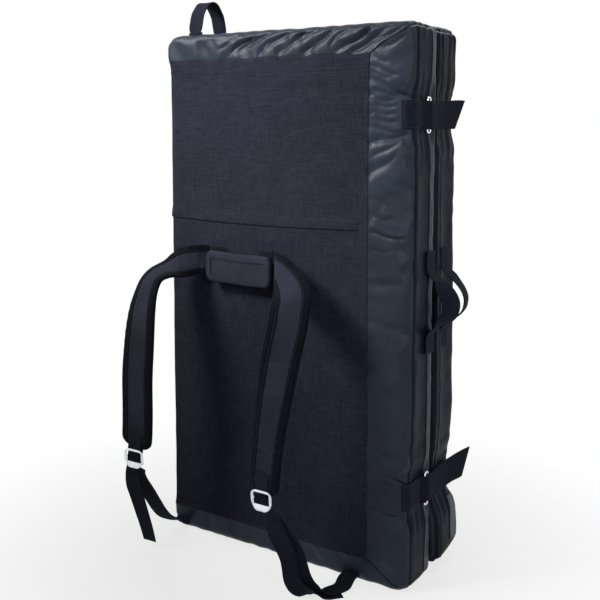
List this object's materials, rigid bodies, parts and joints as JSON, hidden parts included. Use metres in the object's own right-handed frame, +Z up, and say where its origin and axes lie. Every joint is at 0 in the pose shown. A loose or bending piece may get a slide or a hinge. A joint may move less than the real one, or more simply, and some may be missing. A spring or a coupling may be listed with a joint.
{
  "type": "bouldering crash pad",
  "caption": "Folded bouldering crash pad: foam-filled halves hinged on one long edge, with closure straps and rings, side handles, drag loop and a rucksack harness with strap adjusters.",
  "frame": {"origin": "middle of the front half's base, on the floor", "axes": "+Z up; +X towards the long edge that opens; -Y towards the harness and the person who carries the pad"},
  "size_m": [0.6039, 0.3579, 1.069],
  "materials": {
    "coated_nylon": "coated, slightly shiny",
    "back_cloth": "coarse matte weave",
    "webbing": "flat woven, matte",
    "strap_cloth": "padded, matte",
    "foam": "open-cell foam, hidden",
    "dense_foam": "closed-cell foam, hidden",
    "satin_metal": "satin",
    "zip_coil": "coil zip",
    "label_cloth": "smooth woven, blank"
  },
  "bodies": {
    "front_half": {"drag_loop_front_foot": "webbing", "drag_loop_rear_foot": "webbing", "front_cover": "coated_nylon", "front_foam_block": "foam", "front_handle_bottom_tab": "webbing", "front_handle_top_tab": "webbing", "front_hinge_strip": "back_cloth", "front_landing_foam": "dense_foam", "front_lower_panel": "back_cloth", "front_upper_panel": "back_cloth", "front_zip_chain": "zip_coil", "haul_pad": "strap_cloth", "haul_webbing": "webbing", "haul_wrap": "strap_cloth", "left_anchor_tab": "webbing", "left_lower_webbing": "webbing", "left_root_patch": "webbing", "lower_anchor_patch": "webbing", "right_anchor_tab": "webbing", "right_lower_webbing": "webbing", "right_root_patch": "webbing", "upper_anchor_patch": "webbing"},
    "rear_half": {"rear_cover": "coated_nylon", "rear_foam_block": "foam", "rear_landing_foam": "dense_foam", "rear_zip_chain": "zip_coil", "rear_panel": "back_cloth", "rear_hinge_strip": "back_cloth", "rear_handle_top_tab": "webbing", "rear_handle_bottom_tab": "webbing", "upper_strap_base": "webbing", "lower_strap_base": "webbing", "blank_label": "label_cloth"},
    "upper_ring": {"upper_ring": "satin_metal"},
    "lower_ring": {"lower_ring": "satin_metal"},
    "upper_closure": {"upper_closure_strap": "webbing"},
    "lower_closure": {"lower_closure_strap": "webbing"},
    "front_handle": {"front_handle_grip": "webbing"},
    "rear_handle": {"rear_handle_grip": "webbing"},
    "drag_loop": {"drag_loop": "webbing"},
    "left_strap": {"left_shoulder_strap": "strap_cloth", "left_buckle_tab": "webbing"},
    "right_strap": {"right_shoulder_strap": "strap_cloth", "right_buckle_tab": "webbing"},
    "left_adjuster": {"left_adjuster": "satin_metal", "left_webbing_tail": "webbing"},
    "right_adjuster": {"right_adjuster": "satin_metal", "right_webbing_tail": "webbing"},
    "front_zip_slider": {"front_zip_slider": "satin_metal"},
    "rear_zip_slider": {"rear_zip_slider": "satin_metal"}
  },
  "joints": [
    {"name": "fold", "type": "hinge", "parent": "front_half", "child": "rear_half", "pos_m": [-0.268, 0.0525, 0.5], "axis": [0, 0, 1], "range_deg": [0, 180]},
    {"name": "upper_ring_swing", "type": "hinge", "parent": "front_half", "child": "upper_ring", "pos_m": [0.2647, 0.009, 0.846], "axis": [0, 0, -1], "range_deg": [0, 60]},
    {"name": "upper_closure_swing", "type": "hinge", "parent": "upper_ring", "child": "upper_closure", "pos_m": [0.2647, 0.021, 0.846], "axis": [0, 0, -1], "range_deg": [0, 110]},
    {"name": "lower_ring_swing", "type": "hinge", "parent": "front_half", "child": "lower_ring", "pos_m": [0.2647, 0.023, 0.17], "axis": [0, 0, -1], "range_deg": [0, 60]},
    {"name": "lower_closure_swing", "type": "hinge", "parent": "lower_ring", "child": "lower_closure", "pos_m": [0.2647, 0.035, 0.17], "axis": [0, 0, -1], "range_deg": [0, 110]},
    {"name": "front_handle_swing", "type": "hinge", "parent": "front_half", "child": "front_handle", "pos_m": [0.283, 0.03, 0.5135], "axis": [0, 0, 1], "range_deg": [-50, 20]},
    {"name": "rear_handle_swing", "type": "hinge", "parent": "rear_half", "child": "rear_handle", "pos_m": [0.283, 0.095, 0.5135], "axis": [0, 0, 1], "range_deg": [-20, 50]},
    {"name": "drag_loop_swing", "type": "hinge", "parent": "front_half", "child": "drag_loop", "pos_m": [-0.205, 0, 1.018], "axis": [0, 1, 0], "range_deg": [-60, 60]},
    {"name": "left_strap_swing", "type": "hinge", "parent": "front_half", "child": "left_strap", "pos_m": [-0.154, -0.06401, 0.568], "axis": [0, 0, -1], "range_deg": [-25, 20], "deforming": ["left_lower_webbing"]},
    {"name": "right_strap_swing", "type": "hinge", "parent": "front_half", "child": "right_strap", "pos_m": [-0.002, -0.06595, 0.568], "axis": [0, 0, 1], "range_deg": [-25, 10], "deforming": ["right_lower_webbing"]},
    {"name": "left_adjuster_tilt", "type": "hinge", "parent": "left_strap", "child": "left_adjuster", "pos_m": [-0.25075, -0.18074, 0.20308], "axis": [-0.9773, -0.0659, 0.2016], "range_deg": [0, 20]},
    {"name": "right_adjuster_tilt", "type": "hinge", "parent": "right_strap", "child": "right_adjuster", "pos_m": [0.04409, -0.17478, 0.18706], "axis": [-0.9704, 0.1855, 0.1545], "range_deg": [0, 20]},
    {"name": "front_zip_slide", "type": "slide", "parent": "front_half", "child": "front_zip_slider", "axis": [0, 0, 1], "range_m": [0, 0.784]},
    {"name": "rear_zip_slide", "type": "slide", "parent": "rear_half", "child": "rear_zip_slider", "axis": [0, 0, -1], "range_m": [0, 0.784]}
  ]
}
